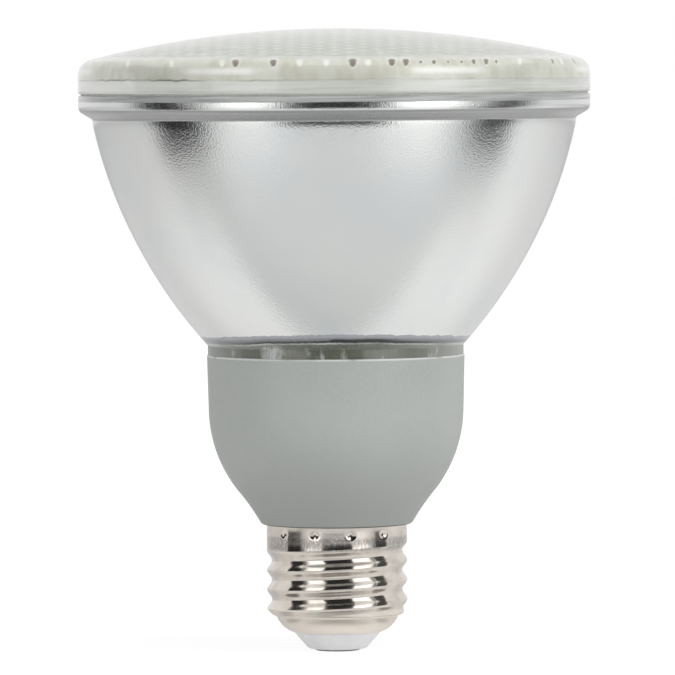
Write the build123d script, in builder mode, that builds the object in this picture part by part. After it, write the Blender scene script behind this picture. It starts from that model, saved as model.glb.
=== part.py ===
from build123d import *
import os
from math import cos, radians, sin, sqrt

# A reflector flood bulb: a pressed glass lens and bowl on a moulded ballast housing with a screw base.
# Millimetres. The axis is Z, the base points down, the origin is the underside of the centre contact.

# Heights of the visible parts, stacked from the bottom up
contact_proud = 0.35
insulator_height = 3.1
shell_height = 20.15
housing_height = 31.7
neck_height = 1.7
bowl_height = 42.2
flange_slope_height = 1.7
flange_band_height = 2.7
seal_thickness = 0.25
lens_height = 12.0

# Lens
lens_diameter = 95.25
lens_dome_radius = 188.0
lens_rim_round = 3.0
lens_foot_round = 0.5
lens_wall = 3.0
lens_rim_wall = 3.2
seal_inset = 0.5

# Reflector
flange_overhang = 2.6
bowl_curve_radius = 90.9
bowl_wall = 2.55
neck_radius = 23.85
flange_edge_round = 1.2
flange_root_round = 1.2

# Housing
housing_ledge = 0.15
housing_shoulder_radius = 23.75
housing_shoulder_drop = 10.0
housing_waist_radius = 18.45
housing_waist_height = 6.4
housing_foot_ledge = 0.9
housing_shoulder_curve = 24.92
housing_foot_curve = 42.7
housing_foot_round = 1.2
housing_wall = 2.2
spigot_height = 2.6
spigot_wall = 1.5
rib_count = 4
rib_width = 1.6
rib_reach = 2.4
rib_height = 8.0

# Screw base
shell_radius = 13.1
shell_sheet = 0.3
shell_fit = 0.05
shell_cup_step = 1.4
shell_cup_round = 5.05
shell_lip_radius = 8.2
collar_height = 3.8
thread_pitch = 3.63
thread_depth = 1.08
thread_turns = 3
thread_steps = 8
thread_start_angle = 184.5
thread_run_out = 1.0
cup_run_out = 1.4
stake_count = 12
stake_start_angle = -78.5
stake_drop = 1.5
stake_depth = 0.4
stake_flare = 1.5
stake_groove_play = 0.1
insulator_land = 1.1
insulator_edge_round = 0.9
insulator_fit = 0.1
insulator_flange_lift = 1.0
insulator_flange_height = 1.6
contact_radius = 4.2
contact_thickness = 0.6
contact_stem_radius = 1.3
contact_stem_height = 7.0

# Tube holder and cement
holder_mouth_wall = 1.45
holder_flange_thickness = 1.6
holder_fit = 0.1
holder_wall = 1.6
holder_height = 3.2
cement_gap = 0.6
cement_height = 2.6

# Discharge tube, three U-bends joined in line by two short bridges
tube_radius = 4.4
tube_circle_radius = 11.5
tube_height = 41.0
tube_socket_fit = 0.15
tube_end_below = 1.0
tube_bridge_radius = 2.0
tube_bridge_height = 4.5
tube_lead_radius = 0.3
tube_lead_spacing = 3.0
tube_bends = 3

# Ballast board and the pieces that hang from it
board_drop = 5.8
board_thickness = 1.6
board_play = 0.5
filter_cap_radius = 5.0
filter_cap_length = 18.0
filter_cap_round = 0.8
filter_cap_place = (7.6, -3.0)
choke_width = 13.0
choke_depth = 5.0
choke_height = 13.0
choke_leg = 3.4
choke_yoke = 2.2
choke_place = (-8.2, 0.0)
winding_depth = 10.5
winding_fit = 0.1
toroid_radius = 4.6
toroid_bore_radius = 2.4
toroid_height = 4.2
toroid_place = (-3.0, 12.2)
transistor_width = 8.0
transistor_depth = 3.2
transistor_height = 11.0
transistor_stand = 3.0
transistor_hole_radius = 1.6
transistor_hole_drop = 3.4
transistor_pin_width = 0.8
transistor_pin_thickness = 0.5
transistor_pin_pitch = 2.3
transistor_pins = 3
transistor_places = {"transistor_high": (-5.4, -12.5), "transistor_low": (5.6, -13.2)}
film_cap_width = 9.0
film_cap_depth = 5.0
film_cap_height = 9.0
film_cap_round = 0.8
film_cap_place = (10.6, 8.8)
diode_radius = 1.25
diode_length = 4.6
diode_pitch = 3.2
diode_place = (-11.6, 9.2)
resistor_radius = 1.5
resistor_length = 8.0
resistor_height = 4.0
lead_radius = 0.5
lead_wire_radius = 0.35
neutral_place = -8.6
neutral_bend = 2.0
neutral_clearance = 0.05
neutral_end_gap = 0.15

# Levels and radii that follow from the sizes above
insulator_z = contact_proud
lip_z = insulator_z + insulator_height
foot_z = lip_z + shell_height
rim_z = foot_z + housing_height
bowl_z = rim_z + neck_height
flange_z = bowl_z + bowl_height
band_z = flange_z + flange_slope_height
seal_z = band_z + flange_band_height
lens_z = seal_z + seal_thickness
top_z = lens_z + lens_height
lens_radius = lens_diameter / 2
mouth_radius = lens_radius - lens_rim_wall
bowl_top_radius = lens_radius - flange_overhang
neck_inner_radius = neck_radius - bowl_wall
housing_rim_radius = neck_radius + housing_ledge
shoulder_z = rim_z - housing_shoulder_drop
waist_z = foot_z + housing_waist_height
housing_foot_radius = shell_radius + housing_foot_ledge
shell_inner_radius = shell_radius - shell_sheet
shell_cup_radius = shell_radius - shell_cup_step
spigot_radius = shell_inner_radius - shell_fit
spigot_z = foot_z - spigot_height
collar_z = foot_z - collar_height
thread_top_z = collar_z - thread_run_out
thread_z = thread_top_z - thread_turns * thread_pitch
thread_centre_offset = thread_depth / 2
thread_circle_radius = shell_radius - thread_centre_offset
cup_top_z = thread_z - cup_run_out
stake_z = foot_z - stake_drop
stake_tip_radius = shell_radius - stake_depth
stake_reach_radius = shell_inner_radius - stake_depth
stake_cone_height = stake_depth + shell_sheet
stake_mouth = stake_flare * stake_cone_height
stake_back_height = stake_depth + shell_sheet / 2
stake_back_mouth = stake_flare * stake_back_height
cup_centre_radius = shell_cup_radius - shell_cup_round
cup_z = lip_z + sqrt(shell_cup_round ** 2 - (shell_lip_radius - cup_centre_radius) ** 2)
holder_mouth_radius = housing_rim_radius - holder_mouth_wall
holder_flange_z = rim_z - holder_flange_thickness
holder_radius = neck_inner_radius - cement_gap
holder_top_z = rim_z + holder_height
holder_plate_z = holder_top_z - holder_wall
board_z = holder_flange_z - board_drop + board_thickness
board_under_z = board_z - board_thickness
cavity_radius = housing_shoulder_radius - housing_wall
board_radius = cavity_radius - board_play

os.makedirs("parts", exist_ok=True)


def sphere_height(radius, centre_z, r):
    """Height of a sphere on the axis at the distance r from it."""
    return centre_z + sqrt(radius * radius - r * r)


def cup_radius_at(z, inset):
    """Radius of the rounded cup at a height, on the sheet's outside or set in from it."""
    return cup_centre_radius + sqrt((shell_cup_round - inset) ** 2 - (cup_z - z) ** 2)


def thread_circles(inset):
    """Circles (x, y, z, radius) up the thread: the round cup, then level circles whose centres climb round
    the axis, which makes a rolled single-start thread, then the round collar."""
    circles = [(0, 0, cup_top_z, cup_radius_at(cup_top_z, inset))]
    for step in range(thread_turns * thread_steps + 1):
        angle = radians(thread_start_angle + 360 * step / thread_steps)
        circles.append((thread_centre_offset * cos(angle), thread_centre_offset * sin(angle),
                        thread_z + thread_pitch * step / thread_steps, thread_circle_radius - inset))
    circles.append((0, 0, collar_z, shell_radius - inset))
    return circles


# Lens: a dome with an upright rim, hollow underneath
dome_centre_z = top_z - lens_dome_radius
dome_inner_radius = lens_dome_radius - lens_wall
with BuildPart() as lens:
    with BuildSketch(Plane.XZ) as lens_profile:
        with BuildLine():
            rim_top = (lens_radius, sphere_height(lens_dome_radius, dome_centre_z, lens_radius))
            inner_top = (mouth_radius, sphere_height(dome_inner_radius, dome_centre_z, mouth_radius))
            RadiusArc((0, top_z), rim_top, lens_dome_radius)
            Polyline(rim_top, (lens_radius, lens_z), (mouth_radius, lens_z), inner_top)
            RadiusArc(inner_top, (0, top_z - lens_wall), -dome_inner_radius)
            Line((0, top_z - lens_wall), (0, top_z))
        make_face()
        rim_corners = lens_profile.vertices().group_by(Axis.X)[-1].sort_by(Axis.Y)
        fillet(rim_corners[-1], lens_rim_round)
        fillet(lens_profile.vertices().group_by(Axis.X)[-1].sort_by(Axis.Y)[0], lens_foot_round)
    revolve(axis=Axis.Z)
lens.part.label = "lens"

# Seal: the thin bead between lens and reflector, set in from the rim
with BuildPart() as lens_seal:
    with BuildSketch(Plane.XY.offset(seal_z)):
        Circle(lens_radius - seal_inset)
        Circle(mouth_radius, mode=Mode.SUBTRACT)
    extrude(amount=seal_thickness)
lens_seal.part.label = "lens_seal"

# Reflector: a pressed glass bowl with a flange round its mouth and a short neck
with BuildPart() as reflector:
    with BuildSketch(Plane.XZ) as reflector_profile:
        with BuildLine():
            flange_edge = (lens_radius, band_z)
            flange_root = (bowl_top_radius, flange_z)
            bowl_inner_top = (bowl_top_radius - bowl_wall, flange_z)
            Polyline((mouth_radius, seal_z), (lens_radius, seal_z), flange_edge, flange_root)
            RadiusArc(flange_root, (neck_radius, bowl_z), bowl_curve_radius)
            Polyline((neck_radius, bowl_z), (neck_radius, rim_z), (neck_inner_radius, rim_z),
                     (neck_inner_radius, bowl_z))
            RadiusArc((neck_inner_radius, bowl_z), bowl_inner_top, -(bowl_curve_radius - bowl_wall))
            Line(bowl_inner_top, (mouth_radius, seal_z))
        make_face()
        fillet(reflector_profile.vertices().sort_by_distance(flange_edge)[0], flange_edge_round)
        fillet(reflector_profile.vertices().sort_by_distance(flange_root)[0], flange_root_round)
    revolve(axis=Axis.Z)
reflector.part.label = "reflector"

# Cement: the ring that bonds the glass neck to the tube holder
with BuildPart() as neck_cement:
    with BuildSketch(Plane.XY.offset(rim_z)):
        Circle(neck_inner_radius)
        Circle(holder_radius, mode=Mode.SUBTRACT)
    extrude(amount=cement_height)
neck_cement.part.label = "neck_cement"

# Housing: one moulded shell, a can with a round shoulder and a waist that narrows to the base
with BuildPart() as housing:
    with BuildSketch(Plane.XZ) as housing_profile:
        with BuildLine():
            shoulder = (housing_shoulder_radius, shoulder_z)
            waist = (housing_waist_radius, waist_z)
            foot = (housing_foot_radius, foot_z)
            cavity_waist = (housing_waist_radius - housing_wall, waist_z)
            cavity_foot = (spigot_radius - spigot_wall, foot_z)
            Line((housing_rim_radius, rim_z), shoulder)
            RadiusArc(shoulder, waist, housing_shoulder_curve)
            RadiusArc(waist, foot, -housing_foot_curve)
            Polyline(foot, (spigot_radius, foot_z), (spigot_radius, spigot_z),
                     (spigot_radius - spigot_wall, spigot_z), cavity_foot)
            RadiusArc(cavity_foot, cavity_waist, housing_foot_curve)
            RadiusArc(cavity_waist, (cavity_radius, shoulder_z), -(housing_shoulder_curve - housing_wall))
            Polyline((cavity_radius, shoulder_z), (cavity_radius, holder_flange_z),
                     (holder_mouth_radius, holder_flange_z), (holder_mouth_radius, rim_z),
                     (housing_rim_radius, rim_z))
        make_face()
        fillet(housing_profile.vertices().sort_by_distance(foot)[0], housing_foot_round)
    revolve(axis=Axis.Z)
    # Groove round the spigot, which the shell's stakes bite into
    with BuildSketch(Plane.XY.offset(stake_z)):
        Circle(spigot_radius)
        Circle(stake_reach_radius - stake_groove_play, mode=Mode.SUBTRACT)
    extrude(amount=stake_back_mouth, both=True, mode=Mode.SUBTRACT)
    # Ribs inside the wall, whose tops carry the board
    with BuildSketch(Plane.XY.offset(board_under_z)):
        with PolarLocations(cavity_radius + housing_wall / 2, rib_count):
            Rectangle(rib_reach + housing_wall / 2, rib_width, align=(Align.MAX, Align.CENTER))
    extrude(amount=-rib_height)
housing.part.label = "housing"

# Tube holder: a plate in the housing's mouth with a raised cap that fills the glass neck
with BuildPart() as tube_holder:
    with BuildSketch(Plane.XZ):
        with BuildLine():
            plate_radius = holder_mouth_radius - holder_fit
            cap_inner_radius = holder_radius - holder_wall
            Polyline((0, holder_top_z), (holder_radius, holder_top_z), (holder_radius, rim_z),
                     (plate_radius, rim_z), (plate_radius, holder_flange_z),
                     (cap_inner_radius, holder_flange_z), (cap_inner_radius, holder_plate_z),
                     (0, holder_plate_z), close=True)
        make_face()
    revolve(axis=Axis.Z)
    with BuildSketch(Plane.XY.offset(holder_top_z)):
        with PolarLocations(tube_circle_radius, 2 * tube_bends):
            Circle(tube_radius + tube_socket_fit)
    extrude(amount=-holder_wall, mode=Mode.SUBTRACT)
tube_holder.part.label = "tube_holder"

# Discharge tube: legs on a circle, bent over in pairs, with bridges between neighbouring pairs
tube_foot_z = holder_plate_z - tube_end_below
leg_angle = 360 / (2 * tube_bends)
first_foot = Vector(tube_circle_radius, 0, tube_foot_z)
leg_feet = [first_foot.rotate(Axis.Z, i * leg_angle) for i in range(2 * tube_bends)]
bend_radius = (leg_feet[1] - leg_feet[0]).length / 2
leg_length = holder_top_z + tube_height - tube_radius - bend_radius - tube_foot_z
with BuildPart() as discharge_tube:
    for i in range(tube_bends):
        near_foot = leg_feet[2 * i]
        far_foot = leg_feet[2 * i + 1]
        rise = Vector(0, 0, leg_length)
        crown = (near_foot + far_foot) / 2 + rise + Vector(0, 0, bend_radius)
        with BuildLine() as bend:
            Line(near_foot, near_foot + rise)
            ThreePointArc(near_foot + rise, crown, far_foot + rise)
            Line(far_foot + rise, far_foot)
        with BuildSketch(Plane(origin=near_foot, z_dir=(0, 0, 1))) as tube_section:
            Circle(tube_radius)
        sweep(sections=tube_section.sketch, path=bend.line)
    for i in range(tube_bends - 1):
        bridge_start = leg_feet[2 * i + 1] + Vector(0, 0, holder_top_z + tube_bridge_height - tube_foot_z)
        bridge_run = leg_feet[2 * i + 2] - leg_feet[2 * i + 1]
        with BuildSketch(Plane(origin=bridge_start, z_dir=bridge_run)):
            Circle(tube_bridge_radius)
        extrude(amount=bridge_run.length)
discharge_tube.part.label = "discharge_tube"

# Tube leads: two wires from each of the tube's two free ends down to the board
with BuildPart() as tube_leads:
    with BuildSketch(Plane.XY.offset(board_z)):
        for end in (leg_feet[0], leg_feet[-1]):
            with Locations((end.X, end.Y)):
                with GridLocations(tube_lead_spacing, 0, 2, 1):
                    Circle(tube_lead_radius)
    extrude(amount=tube_foot_z - board_z)
tube_leads.part.label = "tube_leads"

# Circuit board: a disc that rests on the housing's ribs
with BuildPart() as circuit_board:
    with BuildSketch(Plane.XY.offset(board_under_z)):
        Circle(board_radius)
    extrude(amount=board_thickness)
circuit_board.part.label = "circuit_board"

# Filter capacitor: a can with a rounded end
with BuildPart() as filter_capacitor:
    with BuildSketch(Plane.XY.offset(board_under_z)):
        with Locations(filter_cap_place):
            Circle(filter_cap_radius)
    extrude(amount=-filter_cap_length)
    fillet(filter_capacitor.faces().sort_by(Axis.Z)[0].edges(), filter_cap_round)
filter_capacitor.part.label = "filter_capacitor"

# Choke core: two E-shaped ferrites face to face, with a window each side of the middle leg
window_width = (choke_width - choke_leg) / 2 - choke_yoke
window_height = choke_height - 2 * choke_yoke
choke_centre = Vector(choke_place[0], choke_place[1], board_under_z - choke_height / 2)
with BuildPart() as choke_core:
    with BuildSketch(Plane(origin=choke_centre, x_dir=(1, 0, 0), z_dir=(0, -1, 0))):
        Rectangle(choke_width, choke_height)
        with GridLocations(choke_leg + window_width, 0, 2, 1):
            Rectangle(window_width, window_height, mode=Mode.SUBTRACT)
    extrude(amount=choke_depth / 2, both=True)
choke_core.part.label = "choke_core"

# Choke winding: the wound bobbin round the core's middle leg
with BuildPart() as choke_winding:
    with BuildSketch(Plane(origin=choke_centre)):
        Rectangle(choke_leg + 2 * (window_width - winding_fit), winding_depth)
        Rectangle(choke_leg + 2 * winding_fit, choke_depth + 2 * winding_fit, mode=Mode.SUBTRACT)
    extrude(amount=window_height / 2 - winding_fit, both=True)
choke_winding.part.label = "choke_winding"

# Drive toroid: a ferrite ring that lies flat against the board
with BuildPart() as drive_toroid:
    with BuildSketch(Plane.XY.offset(board_under_z)):
        with Locations(toroid_place):
            Circle(toroid_radius)
            Circle(toroid_bore_radius, mode=Mode.SUBTRACT)
    extrude(amount=-toroid_height)
drive_toroid.part.label = "drive_toroid"

# Transistors: two flat packages on three pins, each with a hole for a heat sink screw
transistors = []
for transistor_name, place in transistor_places.items():
    body_centre = Vector(place[0], place[1], board_under_z - transistor_stand - transistor_height / 2)
    with BuildPart() as transistor:
        with BuildSketch(Plane(origin=body_centre, x_dir=(1, 0, 0), z_dir=(0, -1, 0))):
            Rectangle(transistor_width, transistor_height)
            with Locations((0, transistor_hole_drop - transistor_height / 2)):
                Circle(transistor_hole_radius, mode=Mode.SUBTRACT)
        extrude(amount=transistor_depth / 2, both=True)
        with BuildSketch(Plane.XY.offset(board_under_z)):
            with Locations(place):
                with GridLocations(transistor_pin_pitch, 0, transistor_pins, 1):
                    Rectangle(transistor_pin_width, transistor_pin_thickness)
        extrude(amount=-transistor_stand)
    transistor.part.label = transistor_name
    transistors.append(transistor.part)

# Resonant capacitor: a dipped film block
with BuildPart() as resonant_capacitor:
    with BuildSketch(Plane.XY.offset(board_under_z)):
        with Locations(film_cap_place):
            RectangleRounded(film_cap_width, film_cap_depth, film_cap_round)
    extrude(amount=-film_cap_height)
resonant_capacitor.part.label = "resonant_capacitor"

# Rectifier diodes: four, standing on end in a square
with BuildPart() as rectifier_diodes:
    with BuildSketch(Plane.XY.offset(board_under_z)):
        with Locations(diode_place):
            with GridLocations(diode_pitch, diode_pitch, 2, 2):
                Circle(diode_radius)
    extrude(amount=-diode_length)
rectifier_diodes.part.label = "rectifier_diodes"

# Centre contact: a disc let into the insulator, with a stem that takes the live side
with BuildPart() as centre_contact:
    with BuildSketch(Plane.XY):
        Circle(contact_radius)
    extrude(amount=contact_thickness)
    with BuildSketch(Plane.XY):
        Circle(contact_stem_radius)
    extrude(amount=contact_stem_height)
centre_contact.part.label = "centre_contact"

# Base insulator: a cone through the shell's lip, with a flange that lies inside the cup
with BuildPart() as base_insulator:
    with BuildSketch(Plane.XZ) as insulator_profile:
        with BuildLine():
            plug_radius = shell_lip_radius - insulator_fit
            disc_radius = contact_radius + insulator_fit
            stem_radius = contact_stem_radius + insulator_fit
            face_edge = (disc_radius + insulator_land, insulator_z)
            flange_z0 = lip_z + insulator_flange_lift
            flange_z1 = flange_z0 + insulator_flange_height
            flange_radius = cup_radius_at(flange_z0, shell_sheet) - insulator_fit
            Polyline((disc_radius, insulator_z), face_edge, (plug_radius, lip_z), (plug_radius, flange_z0),
                     (flange_radius, flange_z0), (flange_radius, flange_z1), (stem_radius, flange_z1),
                     (stem_radius, contact_thickness), (disc_radius, contact_thickness), close=True)
        make_face()
        fillet(insulator_profile.vertices().sort_by_distance(face_edge)[0], insulator_edge_round)
    revolve(axis=Axis.Z)
base_insulator.part.label = "base_insulator"

# Screw shell: a drawn and rolled cup of thin sheet, its collar staked to the housing's spigot
with BuildPart() as screw_shell:
    for inset, mode in ((0, Mode.ADD), (shell_sheet, Mode.SUBTRACT)):
        for x, y, z, radius in thread_circles(inset):
            with BuildSketch(Plane((x, y, z))):
                Circle(radius)
        loft(ruled=True, mode=mode)
    with BuildSketch(Plane.XZ):
        with BuildLine():
            lip_inner_z = cup_z - sqrt((shell_cup_round - shell_sheet) ** 2
                                       - (shell_lip_radius - cup_centre_radius) ** 2)
            cup_outer = (cup_radius_at(cup_top_z, 0), cup_top_z)
            cup_inner = (cup_radius_at(cup_top_z, shell_sheet), cup_top_z)
            RadiusArc(cup_outer, (shell_lip_radius, lip_z), shell_cup_round)
            Line((shell_lip_radius, lip_z), (shell_lip_radius, lip_inner_z))
            RadiusArc((shell_lip_radius, lip_inner_z), cup_inner, -(shell_cup_round - shell_sheet))
            Line(cup_inner, cup_outer)
        make_face()
    revolve(axis=Axis.Z)
    with BuildSketch(Plane.XY.offset(collar_z)):
        Circle(shell_radius)
        Circle(shell_inner_radius, mode=Mode.SUBTRACT)
    extrude(amount=collar_height)
    # Stakes: dents punched in from outside, each raising the sheet behind it
    along_radius = (0, 90, 0)
    from_tip = (Align.CENTER, Align.CENTER, Align.MIN)
    with Locations((0, 0, stake_z)):
        with PolarLocations(stake_reach_radius, stake_count, start_angle=stake_start_angle):
            Cone(0, stake_back_mouth, stake_back_height, rotation=along_radius, align=from_tip)
        with PolarLocations(stake_tip_radius, stake_count, start_angle=stake_start_angle):
            Cone(0, stake_mouth, stake_cone_height, rotation=along_radius, align=from_tip,
                 mode=Mode.SUBTRACT)
screw_shell.part.label = "screw_shell"

# Fusible resistor: a barrel on the live side, with its wire down to the contact's stem
resistor_z = contact_stem_height + resistor_height
with BuildPart() as fusible_resistor:
    with BuildSketch(Plane.XY.offset(resistor_z)):
        Circle(resistor_radius)
    extrude(amount=resistor_length)
    with BuildSketch(Plane.XY.offset(contact_stem_height)):
        Circle(lead_wire_radius)
    extrude(amount=resistor_height)
fusible_resistor.part.label = "fusible_resistor"

# Live lead: the covered wire from the resistor straight up to the board
live_z = resistor_z + resistor_length
with BuildPart() as live_lead:
    with BuildSketch(Plane.XY.offset(live_z)):
        Circle(lead_radius)
    extrude(amount=board_under_z - live_z)
live_lead.part.label = "live_lead"

# Neutral lead: down from the board, then out to the inside of the shell's collar
neutral_end_z = spigot_z - lead_radius - neutral_clearance
with BuildPart() as neutral_lead:
    with BuildLine() as neutral_route:
        FilletPolyline((0, neutral_place, board_under_z), (0, neutral_place, neutral_end_z),
                       (0, -(shell_inner_radius - neutral_end_gap), neutral_end_z), radius=neutral_bend)
    with BuildSketch(Plane(origin=neutral_route.line @ 0, z_dir=neutral_route.line % 0)) as neutral_section:
        Circle(lead_radius)
    sweep(sections=neutral_section.sketch, path=neutral_route.line)
neutral_lead.part.label = "neutral_lead"

pieces = [lens, lens_seal, reflector, neck_cement, discharge_tube, tube_holder, tube_leads, housing,
          circuit_board, filter_capacitor, choke_core, choke_winding, drive_toroid, resonant_capacitor,
          rectifier_diodes, fusible_resistor, live_lead, neutral_lead, screw_shell, base_insulator,
          centre_contact]
for finished in [piece.part for piece in pieces] + transistors:
    export_step(finished, f"parts/{finished.label}.step")
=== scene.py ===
from math import atan2, cos, pi, radians, sin, sqrt, tan, tau

import bpy
import numpy as np
from mathutils import Matrix, Vector


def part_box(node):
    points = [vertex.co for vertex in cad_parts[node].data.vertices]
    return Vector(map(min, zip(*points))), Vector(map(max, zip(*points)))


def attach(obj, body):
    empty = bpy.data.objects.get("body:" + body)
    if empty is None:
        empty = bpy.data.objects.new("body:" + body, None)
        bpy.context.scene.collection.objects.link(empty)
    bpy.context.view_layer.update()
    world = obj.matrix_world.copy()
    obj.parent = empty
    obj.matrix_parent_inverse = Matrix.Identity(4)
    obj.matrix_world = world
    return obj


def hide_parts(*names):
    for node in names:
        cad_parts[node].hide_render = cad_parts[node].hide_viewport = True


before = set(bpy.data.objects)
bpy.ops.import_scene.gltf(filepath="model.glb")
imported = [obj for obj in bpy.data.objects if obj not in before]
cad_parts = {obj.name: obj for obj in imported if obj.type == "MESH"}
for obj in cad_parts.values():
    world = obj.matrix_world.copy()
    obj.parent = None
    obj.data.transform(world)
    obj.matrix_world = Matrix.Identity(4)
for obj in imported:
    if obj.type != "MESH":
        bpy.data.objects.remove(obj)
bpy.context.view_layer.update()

# A reflector flood bulb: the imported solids, with smooth turned surfaces over the glass, the housing and
# the base. Outlines are in millimetres, as (radius, height), and all that is put into Blender is in metres.

MM = 0.001
# The angle of the side that faces the camera
front = -pi / 2
# Edges bent by more than this stay sharp
sharp_angle = radians(32)
# Room between an outline's curve and the corner that cuts it
point_gap = 0.2


def extent(node):
    """Radius, lowest level and highest level of a round CAD node, in millimetres."""
    low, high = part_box(node)
    return high.x / MM, low.z / MM, high.z / MM


lens_radius, lens_z, top_z = extent("lens")
flange_radius, neck_z, seal_z = extent("reflector")
housing_radius, spigot_z, rim_z = extent("housing")
shell_radius, lip_z, foot_z = extent("screw_shell")
plug_flange_radius, insulator_z, plug_top_z = extent("base_insulator")
contact_radius, contact_z, stem_top_z = extent("centre_contact")
board_z = extent("circuit_board")[1]

# Lens
dome_radius = 188.0
lens_wall = 3.0
rim_wall = 3.2
rim_round = 3.0
rim_run = 10.0
lens_foot_round = 0.5
dimple_pitch = 3.0
dimple_depth = 0.1
glints = 7
mouth_radius = lens_radius - rim_wall
dome_centre_z = top_z - dome_radius
crease_low_z = lens_z + 2.6
glint_z = lens_z + 4.2
spot_z = lens_z + 5.65
band_high_z = lens_z + 6.9

# Reflector
neck_height = 1.7
bowl_height = 42.2
bowl_wall = 2.55
bowl_curve = 90.9
bowl_lip_height = 1.7
bowl_lip_reach = 0.22
bowl_lip_curve = 9.1
flange_overhang = 2.6
flange_slope_height = 1.5
flange_edge_round = 1.5
flange_root_round = 0.4
flange_top_round = 0.3
housing_ledge = 0.15
press_wave = 0.008
coat_grain = 0.042
neck_line_sink = 1.0
bowl_z = neck_z + neck_height
bowl_top_z = bowl_z + bowl_height
band_z = bowl_top_z + flange_slope_height
bowl_top_radius = lens_radius - flange_overhang
neck_radius = housing_radius - housing_ledge
# Heights of the neck's painted lines: a pale painted highlight, the lower edge of a grey painted shade, and a
# dark and a black painted reflection
highlight_line_z = neck_z + 2.95
shade_z = neck_z + 3.15
dark_reflection_z = neck_z + 3.3
black_reflection_z = neck_z + 3.4
coat_low_z = neck_z + 4.6
coat_high_z = seal_z - 1.15

# Housing
shoulder_radius = 23.75
shoulder_drop = 10.0
shoulder_curve = 24.92
waist_radius = 18.45
waist_height = 6.4
foot_ledge = 0.9
foot_curve = 42.7
foot_round = 0.9
housing_rim_round = 0.3
housing_wall = 2.2
spigot_inset = 0.35
spigot_wall = 1.5
holder_mouth_wall = 1.45
holder_flange_thickness = 1.6
rib_count = 4
rib_width = 1.6
rib_reach = 2.4
rib_height = 8.0
shoulder_z = rim_z - shoulder_drop
waist_z = foot_z + waist_height
housing_foot_radius = shell_radius + foot_ledge
spigot_radius = shell_radius - spigot_inset
holder_mouth_radius = housing_radius - holder_mouth_wall
holder_flange_z = rim_z - holder_flange_thickness
cavity_radius = shoulder_radius - housing_wall

# Screw base
sheet = 0.3
lip_radius = 8.2
cup_step = 1.4
cup_round = 5.05
cup_run_out = 1.4
cup_shoulder_curve = 2.2
collar_height = 3.8
collar_waist = 0.035
collar_flare_low = 1.3
collar_flare_high = 1.0
thread_pitch = 3.63
thread_depth = 0.9
thread_lean = 0.1
thread_turns = 3
thread_run_out = 1.0
thread_start = radians(200)
thread_tail = radians(120)
crest_fade = 0.25
tail_fade = 1.2
tail_blend = 0.4
stake_count = 12
stake_start = radians(-78.5)
stake_drop = 1.5
stake_depth = 0.4
stake_radius = 0.9
plug_fit = 0.1
plug_flange_height = 1.6
plug_edge_round = 0.9
plug_lip_round = 0.3
plug_land = 1.1
contact_thickness = 0.6
contact_edge_round = 0.25
stem_radius = 1.3
cup_centre_radius = shell_radius - cup_step - cup_round
cup_z = lip_z + sqrt(cup_round ** 2 - (lip_radius - cup_centre_radius) ** 2)
collar_z = foot_z - collar_height
thread_top_z = collar_z - thread_run_out
thread_z = thread_top_z - thread_turns * thread_pitch
cup_top_z = thread_z - cup_run_out
thread_foot = (cup_top_z + 0.1, thread_z + 0.3)
satin_levels = (thread_z - 0.55, thread_z + 1.45)
stake_z = foot_z - stake_drop
plug_radius = lip_radius - plug_fit
recess_radius = contact_radius + plug_fit
stem_bore = stem_radius + plug_fit


# Shapes

def arc(start, end, radius, steps):
    """Points on a circle from start to end. The centre lies on the chord's bisector, left of the way from
    start to end where radius is positive and right of it where it is negative, and the angle runs in equal
    steps."""
    start, end = np.array(start, float), np.array(end, float)
    chord = end - start
    half = np.hypot(*chord) / 2
    left = np.array([-chord[1], chord[0]]) / (2 * half)
    centre = (start + end) / 2 + left * np.copysign(sqrt(radius ** 2 - half ** 2), radius)
    first = atan2(*(start - centre)[::-1])
    turn = (atan2(*(end - centre)[::-1]) - first + pi) % tau - pi
    angles = first + turn * np.linspace(0, 1, steps + 1)
    return centre + abs(radius) * np.column_stack([np.cos(angles), np.sin(angles)])


def corner(before, at, after, radius, steps=6):
    """A rounded corner: the arc of that radius which touches the lines from before to at and at to after."""
    before, at, after = (np.array(p, float) for p in (before, at, after))
    back = (before - at) / np.hypot(*(before - at))
    on = (after - at) / np.hypot(*(after - at))
    reach = radius / tan(np.arccos(np.dot(back, on)) / 2)
    side = np.sign(back[1] * on[0] - back[0] * on[1])
    return arc(at + back * reach, at + on * reach, side * radius, steps)


def line(start, end, steps):
    """Points in equal steps on the straight line from start to end."""
    return np.linspace(start, end, steps + 1)


def outline(*runs):
    """One outline from several runs of points, with points that repeat left out."""
    points = np.vstack([np.atleast_2d(run) for run in runs])
    new = np.hypot(*np.diff(points, axis=0).T) > 1e-6
    return points[np.concatenate([[True], new])]


def turned(points, columns, closed=True, shape=None):
    """Places and faces of a surface of revolution: each point (r, z) of an outline that runs
    counter-clockwise goes to (r cos t, r sin t, z) for equal steps of the angle t. A closed outline makes a
    ring; an open one starts and ends on the axis, where its rows shrink to one pole each. shape(t, r, z)
    returns the radii as formed."""
    t = tau * np.arange(columns) / columns
    r = np.repeat(points[:, :1], columns, axis=1)
    z = np.repeat(points[:, 1:], columns, axis=1)
    if shape:
        r = shape(t, r, z)
    grid = np.stack([r * np.cos(t), r * np.sin(t), z], axis=-1)
    rows = grid if closed else grid[1:-1]
    index = np.arange(rows.shape[0] * columns).reshape(-1, columns)
    lower = index if closed else index[:-1]
    upper = np.roll(index, -1, axis=0) if closed else index[1:]
    faces = np.stack([lower, np.roll(lower, -1, 1), np.roll(upper, -1, 1), upper], -1).reshape(-1, 4).tolist()
    places = rows.reshape(-1, 3)
    if not closed:
        pole = np.full(columns, len(places))
        faces += np.stack([pole, np.roll(index[0], -1), index[0]], -1).tolist()
        faces += np.stack([index[-1], np.roll(index[-1], -1), pole + 1], -1).tolist()
        places = np.vstack([places, grid[0, 0], grid[-1, 0]])
    return places, faces


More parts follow.
